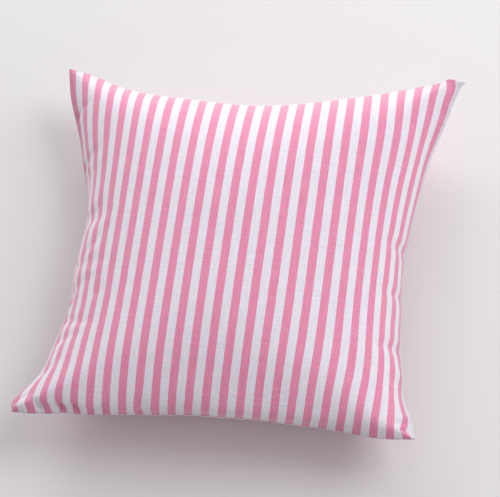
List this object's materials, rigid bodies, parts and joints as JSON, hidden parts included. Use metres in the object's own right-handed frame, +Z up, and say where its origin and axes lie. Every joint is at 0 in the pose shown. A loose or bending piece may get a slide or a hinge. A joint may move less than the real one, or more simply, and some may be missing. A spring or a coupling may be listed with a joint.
{
  "type": "cushion cover",
  "caption": "Plump square cushion in a knife-edge cotton cover with narrow pink and off-white stripes, its sides drawn in, lying on its back.",
  "frame": {"origin": "middle of the box's underside, on the surface that the cushion rests on", "axes": "+Z up out of the cushion's face, +Y along the stripes to the edge that is uppermost in the picture, +X to the right across them"},
  "size_m": [0.439, 0.433, 0.1205],
  "materials": {
    "striped_cotton": "matt plain-weave cotton in even pink and off-white stripes 9 mm wide, which run from the top seam to the bottom seam"
  },
  "bodies": {
    "root": {"cushion": "striped_cotton"}
  },
  "joints": []
}
